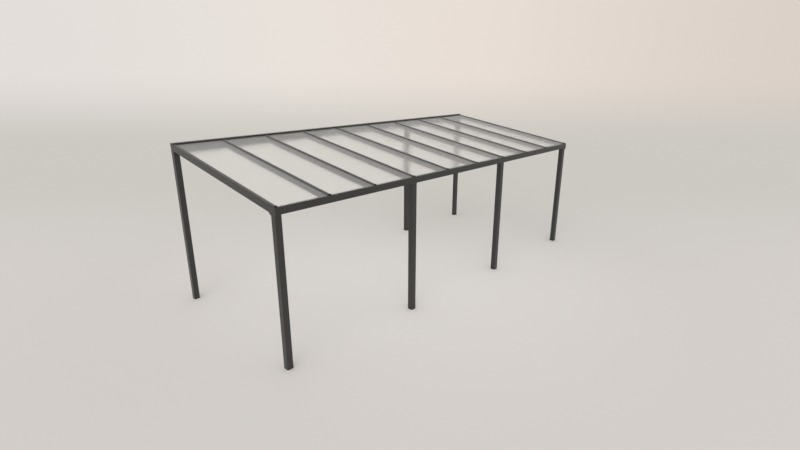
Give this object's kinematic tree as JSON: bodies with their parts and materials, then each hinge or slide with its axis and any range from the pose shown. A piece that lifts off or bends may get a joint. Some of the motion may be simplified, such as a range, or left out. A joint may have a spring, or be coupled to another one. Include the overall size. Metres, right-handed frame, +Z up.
{
  "type": "patio cover",
  "caption": "Free-standing patio cover: square posts, a front gutter and a deep rear beam carry sloping glazing bars with frosted glass panes under screwed cover strips.",
  "frame": {"origin": "on the floor below the middle of the cover, the bottom centre of its overall box", "axes": "+X runs along the front to the right seen from the front, +Y from the gutter to the rear beam, +Z up"},
  "size_m": [8, 3.36, 2.985],
  "materials": {
    "frame_paint": "fine-textured matt powder coat on aluminium",
    "roof_glass": "frosted laminated glass",
    "seal_rubber": "matt",
    "bracket_steel": "galvanised",
    "outlet_plastic": "moulded"
  },
  "bodies": {
    "root": {"post_front_left": "frame_paint", "post_front_mid_left": "frame_paint", "post_front_mid_right": "frame_paint", "post_front_right": "frame_paint", "post_rear_left": "frame_paint", "post_rear_mid": "frame_paint", "post_rear_right": "frame_paint", "post_feet_front": "bracket_steel", "post_feet_rear": "bracket_steel", "post_heads_front": "bracket_steel", "post_heads_rear": "bracket_steel", "front_gutter": "frame_paint", "gutter_end_plate_left": "frame_paint", "gutter_end_plate_right": "frame_paint", "gutter_outlets": "outlet_plastic", "rear_beam": "frame_paint", "rear_beam_end_caps": "frame_paint", "rear_ledges": "frame_paint", "rear_flashing": "frame_paint", "side_beam_left": "frame_paint", "side_beam_right": "frame_paint", "rafter_1": "frame_paint", "rafter_2": "frame_paint", "rafter_3": "frame_paint", "rafter_4": "frame_paint", "rafter_5": "frame_paint", "rafter_6": "frame_paint", "rafter_7": "frame_paint", "rafter_8": "frame_paint", "glass_1": "roof_glass", "glass_2": "roof_glass", "glass_3": "roof_glass", "glass_4": "roof_glass", "glass_5": "roof_glass", "glass_6": "roof_glass", "glass_7": "roof_glass", "glass_8": "roof_glass", "glass_9": "roof_glass", "cover_strips_side": "frame_paint", "cover_strips": "frame_paint", "glass_stops": "frame_paint", "front_fillers": "frame_paint", "glazing_seals_lower": "seal_rubber", "glazing_seals_upper": "seal_rubber"}
  },
  "joints": []
}
